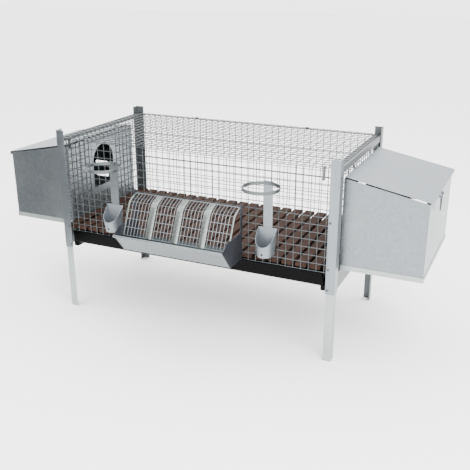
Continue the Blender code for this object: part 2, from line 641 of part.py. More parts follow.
def build_grille():
    """Feeder grille: flat ribs and wires, bent near the top, turning about a rod held in the cheeks."""
    pivot = Vector((FRONT - GRILLE_PIVOT[0], GRILLE_PIVOT[1]))
    fold = Vector((FRONT - GRILLE_FOLD[0], GRILLE_FOLD[1]))
    foot = Vector((FRONT - GRILLE_FOOT[0], GRILLE_FOOT[1]))
    first, second = (fold - pivot).length, (foot - fold).length
    half = FEEDER_WIDTH / 2 - SHEET - GRILLE_SIDE_PLAY
    bay = 2 * half / GRILLE_BAYS
    ribs = bars([-half + bay * i for i in range(1, GRILLE_BAYS)], GRILLE_RIB)
    ribs += bars([-half + GRILLE_EDGE / 2, half - GRILLE_EDGE / 2], GRILLE_EDGE)
    wires = bars([-half + bay * (i + 0.5) for i in range(GRILLE_BAYS)], WIRE)
    lower = [first + second * i / (GRILLE_CROSS_WIRES - 1) for i in range(GRILLE_CROSS_WIRES)]
    levels = bars([WIRE / 2] + lower[:-1] + [lower[-1] - WIRE / 2], WIRE)
    bm = bmesh.new()
    add_lattice(
        bm, ribs + wires, levels, (-half, half), (0, first + second),
        "Z", -GRILLE_SHEET / 2, GRILLE_SHEET / 2,
    )
    down = (fold - pivot).normalized(), (foot - fold).normalized()
    for vert in bm.verts:
        run, lift = vert.co.y, vert.co.z
        start, way, along = (pivot, down[0], run) if run < first else (fold, down[1], run - first)
        square = Vector((way.y, -way.x))
        place = start + way * along + square * lift
        vert.co = (vert.co.x, place.x, place.y)
    grille = add_object("feeder_grille", bm, ZINC_WIRE, (0, *pivot))
    rod = round_cutter("grille_rod", (0, *pivot), "X", GRILLE_ROD, FEEDER_WIDTH + 0.002, sides=10)
    boolean(grille, rod, "UNION")


# ---------------------------------------------------------------- bottle holders
def build_holder(side):
    """Strap on the front panel, a ring for the bottle and a cup for its neck."""
    label = "left" if side < 0 else "right"
    x = side * HOLDER_X
    front = FRONT + PLATE_FACE
    bm = bmesh.new()
    add_box(bm, (x - STRAP_WIDTH / 2, front, STRAP_BOTTOM), (x + STRAP_WIDTH / 2, front + STEEL, STRAP_TOP))
    add_object("bottle_strap_" + label, bm, GALVANISED)

    centre = (x, front - GAP - RING_RADIUS, RING_HEIGHT)
    section = [
        (RING_RADIUS, -RING_BAND / 2), (RING_RADIUS, RING_BAND / 2), (RING_RADIUS - SHEET, RING_BAND / 2),
        (RING_RADIUS - SHEET, -RING_BAND / 2),
    ]
    bm = bmesh.new()
    face = bm.faces.new([bm.verts.new((centre[0] + r, centre[1], centre[2] + h)) for r, h in section])
    edges = face.edges[:]
    verts = face.verts[:]
    bmesh.ops.delete(bm, geom=[face], context="FACES_ONLY")
    bmesh.ops.spin(
        bm, geom=verts + edges, cent=centre, axis=(0, 0, 1), angle=2 * math.pi, steps=28, use_merge=True,
    )
    bmesh.ops.remove_doubles(bm, verts=bm.verts, dist=1e-5)
    add_object("bottle_ring_" + label, bm, GALVANISED, smooth=True)
    build_cup(x, front - GAP, label)


def build_cup(x, back, label):
    """Open scoop: straight sides, a round nose, a slanting rim and a hole low in the nose."""
    radius = CUP_WIDTH / 2
    nose = (x, back - CUP_REACH + radius)
    plan = [(x + radius, back)] + arc(nose, radius, 0, -180, 12) + [(x - radius, back)]
    bm = bmesh.new()
    add_prism(bm, plan, "Z", CUP_BOTTOM, CUP_BACK_TOP + 0.01)
    low = [v for v in bm.verts if v.co.z < CUP_BOTTOM + 0.001]
    bmesh.ops.scale(
        bm, verts=low, vec=(CUP_TAPER, CUP_TAPER, 1.0), space=Matrix.Translation((-x, -back, 0)),
    )
    slope = Vector((0, CUP_REACH, CUP_BACK_TOP - CUP_FRONT_TOP))
    square = Vector((0, -slope.z, slope.y))
    everything = bm.verts[:] + bm.edges[:] + bm.faces[:]
    bmesh.ops.bisect_plane(
        bm, geom=everything, dist=1e-6, plane_co=(x, back, CUP_BACK_TOP), plane_no=square, clear_outer=True,
    )
    cup = add_object("bottle_cup_" + label, bm, GALVANISED, smooth=True)
    thicken(cup, SHEET)
    height = CUP_BOTTOM + 0.012
    boolean(cup, round_cutter("cup_hole_" + label, (x, back - CUP_REACH * 0.7, height), "Y", CUP_HOLE, 0.03))


# ---------------------------------------------------------------- nest boxes
def build_nest(side):
    """Nest box hooked on one end panel: walls, inner wall, pan, hinged lid and the lid's pull."""
    label = "left" if side < 0 else "right"
    build_nest_walls(side, label)
    build_nest_inner_wall(side, label)
    build_nest_pan(side, label)
    build_nest_lid(side, label)
    build_bail(side, label)


def build_nest_walls(side, label):
    """Front, outer and back walls folded from one sheet, their top edge sloping outwards."""
    half = NEST_LENGTH / 2
    path = [
        (NEST_WALL_START, MIDDLE - half), (NEST_OUTER, MIDDLE - half), (NEST_OUTER, MIDDLE + half),
        (NEST_WALL_START, MIDDLE + half),
    ]
    bm = bmesh.new()
    add_prism(bm, mirrored(folded_sheet(path, SHEET), side), "Z", NEST_BOTTOM, NEST_INNER_TOP + 0.02)
    normal = (side * math.sin(LID_SLOPE), 0, math.cos(LID_SLOPE))
    everything = bm.verts[:] + bm.edges[:] + bm.faces[:]
    cut = bmesh.ops.bisect_plane(
        bm, geom=everything, dist=1e-6, plane_co=(side * HALF, MIDDLE, NEST_INNER_TOP), plane_no=normal,
        clear_outer=True,
    )["geom_cut"]
    bmesh.ops.edgeloop_fill(bm, edges=[e for e in cut if isinstance(e, bmesh.types.BMEdge)])
    walls = add_object("nest_walls_" + label, bm, GALVANISED)
    x = side * (NEST_OUTER - SLOT_FROM_OUTER)
    for number, height in enumerate(SLOT_HEIGHTS):
        bm = bmesh.new()
        reach = SLOT_WIDTH / 2 - SLOT_HEIGHT / 2
        outline = arc((x + reach, height), SLOT_HEIGHT / 2, -90, 90, 6)
        outline += arc((x - reach, height), SLOT_HEIGHT / 2, 90, 270, 6)
        add_prism(bm, outline, "Y", MIDDLE + half - 0.01, MIDDLE + half + 0.01)
        boolean(walls, add_cutter("vent_slot_%s_%d" % (label, number), bm))


def build_nest_inner_wall(side, label):
    """Inner wall with the arched entry hole and two hooks over a wire of the end panel."""
    half = NEST_LENGTH / 2 - GAP
    low_x, high_x = sorted((side * NEST_INNER, side * (NEST_INNER + SHEET)))
    bm = bmesh.new()
    add_box(bm, (low_x, MIDDLE - half, NEST_BOTTOM), (high_x, MIDDLE + half, NEST_INNER_TOP))
    wall = add_object("nest_inner_wall_" + label, bm, GALVANISED)

    radius = ENTRY_WIDTH / 2
    spring = ENTRY_TOP - radius
    outline = [(MIDDLE - radius, ENTRY_SILL), (MIDDLE + radius, ENTRY_SILL)]
    outline += arc((MIDDLE, spring), radius, 0, 180, 14)
    bm = bmesh.new()
    add_prism(bm, outline, "X", low_x - 0.01, high_x + 0.01)
    boolean(wall, add_cutter("entry_hole_" + label, bm))

    hook_sheet = 0.0010
    stem = NEST_INNER + SHEET - 0.0001
    wire_top = MESH_BOTTOM + HOOK_ROW * MESH + WIRE / 2
    crown = wire_top + 0.0030 + hook_sheet
    beak = HALF - PANEL_INNER - 0.0004 - hook_sheet
    path = [(stem, NEST_INNER_TOP - 0.018), (stem, crown), (beak, crown), (beak, wire_top - 0.006)]
    for number, y in enumerate((MIDDLE - HOOK_Y, MIDDLE + HOOK_Y)):
        bm = bmesh.new()
        hook = mirrored(folded_sheet(path, hook_sheet), side)
        add_prism(bm, hook, "Y", y - HOOK_WIDTH / 2, y + HOOK_WIDTH / 2)
        boolean(wall, add_cutter("nest_hook_%s_%d" % (label, number), bm), "UNION")


def build_nest_pan(side, label):
    """Floor pan that wraps the foot of the three outer walls."""
    wrap = GAP + SHEET
    low_x, high_x = sorted((side * NEST_WALL_START, side * (NEST_OUTER + wrap)))
    half = NEST_LENGTH / 2 + wrap
    low = NEST_BOTTOM - wrap
    bm = bmesh.new()
    add_box(bm, (low_x, MIDDLE - half, low), (high_x, MIDDLE + half, low + PAN_RIM))
    open_faces = [f for f in bm.faces if f.normal.z > 0.5 or f.normal.x * side < -0.5]
    bmesh.ops.delete(bm, geom=open_faces, context="FACES")
    thicken(add_object("nest_pan_" + label, bm, GALVANISED), SHEET)


def lid_point(side, run, y, lift):
    """World place of a point on the lid, given along its slope from the hinge and square to it."""
    x = LID_PIVOT_X + run * math.cos(LID_SLOPE) + lift * math.sin(LID_SLOPE)
    z = LID_PIVOT_Z - run * math.sin(LID_SLOPE) + lift * math.cos(LID_SLOPE)
    return (side * x, y, z)


def lid_frame(side):
    """Turns and places shapes drawn flat, hinge at the origin, into the lid's slope."""
    turn = Matrix.Rotation(side * LID_SLOPE, 4, "Y")
    return Matrix.Translation((side * LID_PIVOT_X, MIDDLE, LID_PIVOT_Z)) @ turn


def build_nest_lid(side, label):
    """Sloping lid with a folded outer lip and two ears for the pull."""
    origin = (side * LID_PIVOT_X, MIDDLE, LID_PIVOT_Z)
    path = [(0.0, 0.0), (LID_RUN, 0.0), (LID_RUN, -LID_LIP)]
    bm = bmesh.new()
    add_prism(bm, mirrored(folded_sheet(path, -SHEET), side), "Y", -LID_HALF_LENGTH, LID_HALF_LENGTH)
    bmesh.ops.transform(bm, matrix=lid_frame(side), verts=bm.verts)
    lid = add_object("nest_lid_" + label, bm, GALVANISED, origin)
    for number, direction in enumerate((-1, 1)):
        y = BAIL_Y + direction * (BAIL_HALF + BAIL_WIRE + GAP + EAR_THICKNESS / 2)
        inner, outer = sorted((side * (LID_RUN - SHEET * 0.5), side * (LID_RUN + EAR_REACH)))
        bm = bmesh.new()
        add_box(bm, (inner, y - EAR_THICKNESS / 2, -LID_LIP + 0.001), (outer, y + EAR_THICKNESS / 2, -0.002))
        bmesh.ops.transform(bm, matrix=lid_frame(side), verts=bm.verts)
        boolean(lid, add_cutter("lid_ear_%s_%d" % (label, number), bm), "UNION")
    bore = round_cutter("lid_ear_bore_" + label, bail_pivot(side), "Y", EAR_BORE, 4 * BAIL_HALF)
    boolean(lid, bore)


def bail_pivot(side):
    """Middle of the pull's pivot line, in the ears on the lid's outer lip."""
    return lid_point(side, LID_RUN + EAR_REACH * 0.56, MIDDLE + BAIL_Y, -LID_LIP / 2)


def build_bail(side, label):
    """Three-cornered wire pull that hangs from the lid's ears."""
    pin = BAIL_HALF + BAIL_WIRE + GAP + EAR_THICKNESS + 0.0015
    half = [(pin, 0.0), (BAIL_HALF + 0.0002, 0.0), (BAIL_HALF - 0.0018, -0.0042), (0.0032, 0.003 - BAIL_DROP)]
    points = half + [(0.0, -BAIL_DROP)] + [(-a, b) for a, b in reversed(half)]
    curve = bpy.data.curves.new("nest_bail_" + label, "CURVE")
    curve.dimensions = "3D"
    curve.bevel_depth = BAIL_WIRE
    curve.bevel_resolution = 1
    curve.use_fill_caps = True
    spline = curve.splines.new("POLY")
    spline.points.add(len(points) - 1)
    for point, (y, z) in zip(spline.points, points):
        point.co = (0, y, z, 1)
    bail = bpy.data.objects.new("nest_bail_" + label, curve)
    bail.location = bail_pivot(side)
    bpy.context.scene.collection.objects.link(bail)
    curve.materials.append(finish("nest_bail_" + label, *ZINC_WIRE))


# ---------------------------------------------------------------- the cage
def build():
    """Builds every piece of the cage."""
    for old in list(bpy.data.objects):
        bpy.data.objects.remove(old, do_unlink=True)
    low_holes = {(side, end): build_corner(side, end) for side in (-1, 1) for end in (-1, 1)}
    for side in (-1, 1):
        build_top_rail(side)
        build_floor_rail(side, [low_holes[side, -1], low_holes[side, 1]])
        build_runner(side)
        build_roof_hinge(side)
        build_lid_clip(side)
        build_cheek(side)
        build_holder(side)
        build_nest(side)
    build_walls()
    build_roof()
    build_bearers()
    build_mat()
    build_tray()
    build_trough()
    build_grille()


build()
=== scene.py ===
"""Finish of a wire rabbit cage with a sheet metal nest box on each end.

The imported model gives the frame. This script adds what its plain solids leave out: welded round wire at its
full pitch, the feeder grille's wires, hexagon nuts, folded edges with a small radius, and every finish.
"""

import json
import logging
import math
from dataclasses import dataclass, field
from enum import Enum

import bmesh
import bpy
from mathutils import Matrix, Vector


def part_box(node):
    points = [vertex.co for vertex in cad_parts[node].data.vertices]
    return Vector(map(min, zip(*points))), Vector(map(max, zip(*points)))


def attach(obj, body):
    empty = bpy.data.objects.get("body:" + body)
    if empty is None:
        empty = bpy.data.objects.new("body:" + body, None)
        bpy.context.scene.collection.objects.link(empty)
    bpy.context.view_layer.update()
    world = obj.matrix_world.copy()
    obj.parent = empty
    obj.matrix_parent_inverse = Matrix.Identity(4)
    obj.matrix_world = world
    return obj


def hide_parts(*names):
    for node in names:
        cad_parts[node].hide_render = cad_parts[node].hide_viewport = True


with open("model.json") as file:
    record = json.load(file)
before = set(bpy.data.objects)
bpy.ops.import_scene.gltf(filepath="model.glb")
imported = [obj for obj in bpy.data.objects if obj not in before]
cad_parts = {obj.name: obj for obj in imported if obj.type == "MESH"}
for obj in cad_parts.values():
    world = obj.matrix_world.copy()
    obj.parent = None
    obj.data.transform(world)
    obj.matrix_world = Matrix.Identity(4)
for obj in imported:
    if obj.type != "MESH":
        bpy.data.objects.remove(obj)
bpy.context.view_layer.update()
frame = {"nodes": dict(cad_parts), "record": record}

LOG = logging.getLogger("rabbit_cage")
Point = tuple[float, float, float]
Colour = tuple[float, float, float]
SAME_PLACE = 1e-6  # metres: points closer than this count as one
CELL_WARP = 0.012  # metres: how far the zinc cells' outlines wander


class Axis(Enum):
    """A world axis, as an index into a point."""

    X = 0
    Y = 1
    Z = 2


# ---------------------------------------------------------------- shader groups
def add_node(tree: bpy.types.NodeTree, kind: str, **values: object) -> bpy.types.Node:
    """Adds a shader node and fills its settings and unlinked inputs.

    Args:
        tree: The node tree it goes in.
        kind: The node's type without the ShaderNode prefix.
        **values: Settings by attribute name, or input values by input name with _ for a space.

    Returns:
        The new node.
    """
    node = tree.nodes.new("ShaderNode" + kind)
    for key, value in values.items():
        if hasattr(node, key):
            setattr(node, key, value)
        else:
            node.inputs[key.replace("_", " ")].default_value = value
    return node


def new_group(name: str, inputs: dict[str, float], outputs: list[str]) -> bpy.types.NodeTree:
    """Starts a shader group with float sockets and its two end nodes.

    Args:
        name: The group's name.
        inputs: Input names and their default values.
        outputs: Output names.

    Returns:
        The group's node tree.
    """
    tree = bpy.data.node_groups.new(name, "ShaderNodeTree")
    for key, value in inputs.items():
        socket = tree.interface.new_socket(name=key, in_out="INPUT", socket_type="NodeSocketFloat")
        socket.default_value = value
    for key in outputs:
        tree.interface.new_socket(name=key, in_out="OUTPUT", socket_type="NodeSocketFloat")
    tree.nodes.new("NodeGroupInput")
    tree.nodes.new("NodeGroupOutput")
    return tree


def ends(tree: bpy.types.NodeTree) -> tuple[bpy.types.Node, bpy.types.Node]:
    """Gives a group's input and output nodes."""
    return tree.nodes["Group Input"], tree.nodes["Group Output"]


def spangle_group() -> bpy.types.NodeTree:
    """Zinc crystals: flat cells of differing tone, frosted by a finer grain.

    Returns:
        A group with the outputs Tone and Height.
    """
    tree = new_group("zinc_spangle", {"Scale": 90.0, "Frost": 0.35}, ["Tone", "Height"])
    start, end = ends(tree)
    link = tree.links.new
    place = add_node(tree, "TexCoord")
    warp = add_node(tree, "TexNoise", Scale=40.0, Detail=2.0)
    shift = add_node(tree, "VectorMath", operation="MULTIPLY_ADD")
    shift.inputs[1].default_value = (CELL_WARP, CELL_WARP, CELL_WARP)
    cells = add_node(tree, "TexVoronoi", feature="F1")
    grey = add_node(tree, "RGBToBW")
    grain = add_node(tree, "TexNoise", Scale=900.0, Detail=3.0)
    mix = add_node(tree, "Mix", data_type="FLOAT")
    link(place.outputs["Object"], warp.inputs["Vector"])
    link(warp.outputs["Color"], shift.inputs[0])
    link(place.outputs["Object"], shift.inputs[2])
    link(shift.outputs["Vector"], cells.inputs["Vector"])
    link(start.outputs["Scale"], cells.inputs["Scale"])
    link(place.outputs["Object"], grain.inputs["Vector"])
    link(cells.outputs["Color"], grey.inputs["Color"])
    link(start.outputs["Frost"], mix.inputs["Factor"])
    link(grey.outputs["Val"], mix.inputs["A"])
    link(grain.outputs["Fac"], mix.inputs["B"])
    link(mix.outputs["Result"], end.inputs["Tone"])
    link(grain.outputs["Fac"], end.inputs["Height"])
    return tree


def bloom_group() -> bpy.types.NodeTree:
    """Cloudy patches of dull film and handling marks.

    Returns:
        A group with the output Mask.
    """
    tree = new_group("dull_film", {"Scale": 5.0, "Start": 0.42, "Stop": 0.72}, ["Mask"])
    start, end = ends(tree)
    link = tree.links.new
    place = add_node(tree, "TexCoord")
    cloud = add_node(tree, "TexNoise", Detail=5.0, Roughness=0.62)
    ramp = add_node(tree, "MapRange", interpolation_type="SMOOTHSTEP")
    link(place.outputs["Object"], cloud.inputs["Vector"])
    link(start.outputs["Scale"], cloud.inputs["Scale"])
    link(cloud.outputs["Fac"], ramp.inputs["Value"])
    link(start.outputs["Start"], ramp.inputs["From Min"])
    link(start.outputs["Stop"], ramp.inputs["From Max"])
    link(ramp.outputs["Result"], end.inputs["Mask"])
    return tree


def streak_group() -> bpy.types.NodeTree:
    """Long fine rolling or moulding lines along one direction.

    Returns:
        A group with the outputs Tone and Height.
    """
    tree = new_group(
        "drawn_streaks", {"Along X": 4.0, "Along Y": 400.0, "Along Z": 400.0}, ["Tone", "Height"],
    )
    start, end = ends(tree)
    link = tree.links.new
    place = add_node(tree, "TexCoord")
    scale = add_node(tree, "CombineXYZ")
    stretch = add_node(tree, "VectorMath", operation="MULTIPLY")
    lines = add_node(tree, "TexNoise", Scale=1.0, Detail=4.0, Roughness=0.55)
    for key in "XYZ":
        link(start.outputs["Along " + key], scale.inputs[key])
    link(place.outputs["Object"], stretch.inputs[0])
    link(scale.outputs["Vector"], stretch.inputs[1])
    link(stretch.outputs["Vector"], lines.inputs["Vector"])
    link(lines.outputs["Fac"], end.inputs["Tone"])
    link(lines.outputs["Fac"], end.inputs["Height"])
    return tree


@dataclass(frozen=True)
class Groups:
    """The shader groups that the finishes share."""

    spangle: bpy.types.NodeTree = field(default_factory=spangle_group)
    bloom: bpy.types.NodeTree = field(default_factory=bloom_group)
    streak: bpy.types.NodeTree = field(default_factory=streak_group)


def place_group(tree: bpy.types.NodeTree, group: bpy.types.NodeTree, **values: float) -> bpy.types.Node:
    """Puts a shader group in a material with its own values.

    Args:
        tree: The material's node tree.
        group: The shared group.
        **values: Input values by name with _ for a space.

    Returns:
        The group node.
    """
    node = tree.nodes.new("ShaderNodeGroup")
    node.node_tree = group
    for key, value in values.items():
        node.inputs[key.replace("_", " ")].default_value = value
    return node


@dataclass(frozen=True)
class Finish:
    """A finish: two tones mixed by a pattern, dulled by film, with roughness and bump from the same nodes."""

    name: str
    dark: Colour
    light: Colour
    film: Colour
    metallic: float = 0.85
    rough: tuple[float, float] = (0.32, 0.5)
    spangle: float = 90.0
    frost: float = 0.35
    streaks: tuple[float, float, float] = (0.0, 0.0, 0.0)
    film_scale: float = 5.0
    film_range: tuple[float, float] = (0.42, 0.75)
    film_amount: float = 0.5
    bump: float = 0.06
    bump_depth: float = 0.0002
    specular: float = 0.5
    tone_share: float = 0.6

    def make(self, groups: Groups) -> bpy.types.Material:
        """Builds the material.

        Args:
            groups: The shared shader groups.

        Returns:
            The new material.
        """
        material = bpy.data.materials.new(self.name)
        material.use_nodes = True
        tree = material.node_tree
        link = tree.links.new
        shader = tree.nodes["Principled BSDF"]
        if any(self.streaks):
            along = dict(zip(("Along_X", "Along_Y", "Along_Z"), self.streaks))
            pattern = place_group(tree, groups.streak, **along)
        else:
            pattern = place_group(tree, groups.spangle, Scale=self.spangle, Frost=self.frost)
        tones = add_node(tree, "Mix", data_type="RGBA")
        tones.inputs["A"].default_value = (*self.dark, 1.0)
        tones.inputs["B"].default_value = (*self.light, 1.0)
        link(pattern.outputs["Tone"], tones.inputs["Factor"])
        film = place_group(
            tree, groups.bloom, Scale=self.film_scale, Start=self.film_range[0], Stop=self.film_range[1],
        )
        amount = add_node(tree, "Math", operation="MULTIPLY")
        amount.inputs[1].default_value = self.film_amount
        link(film.outputs["Mask"], amount.inputs[0])
        dulled = add_node(tree, "Mix", data_type="RGBA")
        dulled.inputs["B"].default_value = (*self.film, 1.0)
        link(tones.outputs["Result"], dulled.inputs["A"])
        link(amount.outputs["Value"], dulled.inputs["Factor"])
        link(dulled.outputs["Result"], shader.inputs["Base Color"])
        sheen = add_node(tree, "Mix", data_type="FLOAT")
        sheen.inputs["A"].default_value = self.rough[0]
        sheen.inputs["B"].default_value = self.rough[1]
        both = add_node(tree, "Math", operation="MULTIPLY_ADD", use_clamp=True)
        both.inputs[1].default_value = self.tone_share
        link(pattern.outputs["Tone"], both.inputs[0])
        link(amount.outputs["Value"], both.inputs[2])
        link(both.outputs["Value"], sheen.inputs["Factor"])
        link(sheen.outputs["Result"], shader.inputs["Roughness"])
        bump = add_node(tree, "Bump", Strength=self.bump, Distance=self.bump_depth)
        link(pattern.outputs["Height"], bump.inputs["Height"])
        link(bump.outputs["Normal"], shader.inputs["Normal"])
        shader.inputs["Metallic"].default_value = self.metallic
        shader.inputs["Specular IOR Level"].default_value = self.specular
        material.diffuse_color = (*self.light, 1.0)
        return material


SHEET = Finish(
    "galvanised_sheet", (0.148, 0.17, 0.18), (0.219, 0.241, 0.252), (0.252, 0.269, 0.275), metallic=0.88,
    rough=(0.27, 0.42), spangle=110.0, frost=0.45, film_scale=4.0, film_amount=0.55,
)
NEST_LID = Finish(
    "galvanised_lid", (0.15, 0.172, 0.193), (0.219, 0.242, 0.263), (0.258, 0.273, 0.29), metallic=0.72,
    rough=(0.38, 0.56), spangle=100.0, frost=0.5, film_scale=3.2, film_amount=0.6,
)
ANGLE = Finish(
    "galvanised_angle", (0.15, 0.173, 0.19), (0.219, 0.243, 0.26), (0.254, 0.271, 0.283), metallic=0.88,
    rough=(0.26, 0.42), streaks=(420.0, 420.0, 5.0), film_scale=7.0,
)
LEG = Finish(
    "zinc_plated_leg", (0.268, 0.309, 0.295), (0.362, 0.402, 0.383), (0.402, 0.429, 0.409), metallic=0.7,
    rough=(0.34, 0.5), streaks=(420.0, 420.0, 4.0), film_scale=6.0,
)
# Galvanised finish darkened well below ANGLE: painted shade, for the rails, bearers, bottle bands and the back
# posts and legs that stand in shadow.
SHADED_RAIL = Finish(
    "painted_shade_galvanised_rail", (0.07, 0.0785, 0.0825), (0.122, 0.135, 0.139), (0.139, 0.148, 0.152), metallic=0.78,
    rough=(0.34, 0.52), streaks=(420.0, 5.0, 420.0), film_scale=8.0,
)
WIRE = Finish(
    "galvanised_wire", (0.039, 0.0444, 0.0479), (0.0929, 0.102, 0.107), (0.12, 0.124, 0.124), metallic=0.85,
    rough=(0.28, 0.48), spangle=260.0, frost=0.5, film_scale=14.0, film_amount=0.5,
)
BRIGHT = Finish(
    "bright_strip", (0.154, 0.176, 0.165), (0.227, 0.249, 0.238), (0.22, 0.235, 0.227), metallic=0.8,
    rough=(0.2, 0.36), spangle=150.0, frost=0.6, film_scale=18.0, film_amount=0.4,
)
FIXING = Finish(
    "zinc_plated_fixing", (0.056, 0.0595, 0.063), (0.105, 0.108, 0.112), (0.098, 0.098, 0.098), metallic=0.9,
    rough=(0.24, 0.42), spangle=420.0, frost=0.6, film_scale=60.0, film_amount=0.6,
)
SLAT = Finish(
    "brown_slat_plastic", (0.015, 0.0082, 0.0062), (0.042, 0.0235, 0.0172), (0.052, 0.033, 0.0262),
    metallic=0.0, rough=(0.55, 0.8), streaks=(160.0, 9.0, 160.0), film_scale=16.0, film_range=(0.48, 0.78),
    film_amount=0.5, bump=0.3, bump_depth=0.0006, specular=0.03,
)
TRAY = Finish(
    "black_gloss_plastic", (0.0003, 0.0004, 0.0004), (0.0008, 0.0009, 0.001), (0.002, 0.002, 0.002),
    metallic=0.0, rough=(0.09, 0.34), streaks=(12.0, 220.0, 220.0), film_scale=9.0, film_amount=0.5, bump=0.05,
    specular=0.05,
)
RUNNER = Finish(
    "black_satin_plastic", (0.0005, 0.0005, 0.0006), (0.0015, 0.00162, 0.00175), (0.004, 0.004, 0.00387),
    metallic=0.0, rough=(0.3, 0.5), streaks=(220.0, 8.0, 220.0), film_scale=12.0, film_amount=0.45, bump=0.08,
    specular=0.05,
)
# A dark blue-grey copy of the galvanised sheet: painted shade, for the feeder cheeks that turn away from the
# light.
SHADED = Finish(
    "painted_shade_galvanised_sheet", (0.035, 0.04, 0.052), (0.075, 0.08, 0.096), (0.10, 0.105, 0.115), metallic=0.8,
    rough=(0.3, 0.5), spangle=120.0, frost=0.5, film_scale=9.0, film_amount=0.5,
)


class Workshop:
    """Makes each material once and puts pieces into the scene."""

    def __init__(self) -> None:
        """Builds the shared groups and starts with no material made."""
        self.groups = Groups()
        self.made: dict[str, bpy.types.Material] = {}

    def material(self, finish: Finish) -> bpy.types.Material:
        """Gives a finish's material, made on first use."""
        if finish.name not in self.made:
            self.made[finish.name] = finish.make(self.groups)
        return self.made[finish.name]

    def dress(self, node: str, finish: Finish) -> None:
        """Gives a carried-over node its finish.

        Args:
            node: The node's name.
            finish: The finish it gets.
        """
        mesh = frame["nodes"][node].data
        mesh.materials.clear()
        mesh.materials.append(self.material(finish))

    def place(
        self, name: str, bm: bmesh.types.BMesh, finish: Finish, nodes: list[str], sharp: float = 40.0,
    ) -> bpy.types.Object:
        """Turns a finished bmesh into a piece that stands for CAD nodes and rides on their body.

        Args:
            name: The piece's name.
            bm: The mesh, in world coordinates; it is freed.
            finish: The piece's finish.
            nodes: The nodes it replaces; the first gives its body.
            sharp: Edges that turn by more than this many degrees stay sharp.

        Returns:
            The new object.
        """
        mesh = bpy.data.meshes.new(name)
        bm.to_mesh(mesh)
        bm.free()
        mesh.shade_smooth()
        mesh.set_sharp_from_angle(angle=math.radians(sharp))
        mesh.materials.append(self.material(finish))
        piece = bpy.data.objects.new(name, mesh)
        bpy.context.scene.collection.objects.link(piece)
        bodies = frame["record"]["behaviour"]["bodies"]
        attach(piece, next(key for key, names in bodies.items() if nodes[0] in names))
        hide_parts(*nodes)
        LOG.info("%s stands for %s", name, ", ".join(nodes))
        return piece


def add_rod(
    bm: bmesh.types.BMesh, start: Point, stop: Point, radius: float, sides: int = 8,
) -> list[bmesh.types.BMVert]:
    """Adds a straight round rod with closed ends.

    Args:
        bm: The mesh it joins.
        start: Middle of one end.
        stop: Middle of the other end.
        radius: The rod's radius.
        sides: Faces around it.

    Returns:
        The rod's vertices.
    """
    first, last = Vector(start), Vector(stop)
    way = last - first
    turn = way.to_track_quat("Z", "Y").to_matrix().to_4x4()
    made = bmesh.ops.create_cone(
        bm, cap_ends=True, segments=sides, radius1=radius, radius2=radius, depth=way.length,
        matrix=Matrix.Translation((first + last) / 2) @ turn,
    )
    return made["verts"]


def add_block(bm: bmesh.types.BMesh, low: Point, high: Point) -> list[bmesh.types.BMVert]:
    """Adds a box between two corners and gives its vertices."""
    size = [b - a for a, b in zip(low, high)]
    centre = [(a + b) / 2 for a, b in zip(low, high)]
    place = Matrix.Translation(centre) @ Matrix.Diagonal((*size, 1.0))
    return bmesh.ops.create_cube(bm, size=1.0, matrix=place)["verts"]


# ---------------------------------------------------------------- welded mesh
@dataclass
class WireWall:
    """One welded panel: uprights on one side, cross wires sunk into them on the other."""

    node: str
    thin: Axis
    outward: int
    cut: tuple[int, int, int, int] | None = None
    pitch: float = 0.025
    radius: float = 0.0012  # over the CAD wire's 0.001, so turned hinge and clip loops touch it
    cad_wire: float = 0.002
    weld: float = 0.0005
    overrun: float = 0.04  # past the last crossing, in cells

    def axes(self) -> tuple[int, int]:
        """Indices of the panel's across and up axes."""
        across, up = [a.value for a in Axis if a is not self.thin]
        return across, up

    def spans(
        self, number: int, count: int, window: tuple[int, int], along: tuple[int, int],
    ) -> list[tuple[int, int]]:
        """Splits a wire where the cut-out takes its middle away.

        Args:
            number: The wire's place across the cut-out.
            count: Cells along the wire.
            window: First and last wire around the cut-out, counted as number is.
            along: Where the cut-out starts and stops along the wire.

        Returns:
            Start and stop of each length that stays, in cells.
        """
        if self.cut and window[0] < number < window[1]:
            return [(0, along[0]), (along[1], count)]
        return [(0, count)]

    def build(self, shop: Workshop) -> bpy.types.Object:
        """Builds the panel's wires and stands them in for the CAD panel."""
        low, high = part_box(self.node)
        across, up = self.axes()
        first = [low[across] + self.cad_wire / 2, low[up] + self.cad_wire / 2]
        cells = [round((high[k] - low[k] - self.cad_wire) / self.pitch) for k in (across, up)]
        middle = (low[self.thin.value] + high[self.thin.value]) / 2
        cut = self.cut or (0, 0, 0, 0)
        bm = bmesh.new()

        def point(a: float, b: float, layer: int) -> Point:
            """World place of a crossing, on the outer (1) or inner (-1) layer."""
            place = [0.0, 0.0, 0.0]
            place[across] = first[0] + a * self.pitch
            place[up] = first[1] + b * self.pitch
            place[self.thin.value] = middle + layer * self.outward * self.weld
            return tuple(place)

        over = self.overrun
        for i in range(cells[0] + 1):
            for start, stop in self.spans(i, cells[1], cut[:2], cut[2:]):
                add_rod(bm, point(i, start - over, 1), point(i, stop + over, 1), self.radius)
        for j in range(cells[1] + 1):
            for start, stop in self.spans(j, cells[0], cut[2:], cut[:2]):
                add_rod(bm, point(start - over, j, -1), point(stop + over, j, -1), self.radius)
        return shop.place(self.node + "_wires", bm, WIRE, [self.node])


@dataclass
class MeshBox:
    """The five welded panels of the cage."""

    feeder_cut: tuple[int, int, int, int] = (12, 27, 1, 6)
    nest_cut: tuple[int, int, int, int] = (6, 13, 3, 11)

    def build(self, shop: Workshop) -> None:
        """Builds every panel."""
        WireWall("front_panel", Axis.Y, -1, self.feeder_cut).build(shop)
        WireWall("back_panel", Axis.Y, 1).build(shop)
        WireWall("end_panel_left", Axis.X, -1, self.nest_cut).build(shop)
        WireWall("end_panel_right", Axis.X, 1, self.nest_cut).build(shop)
        WireWall("roof_panel", Axis.Z, 1).build(shop)


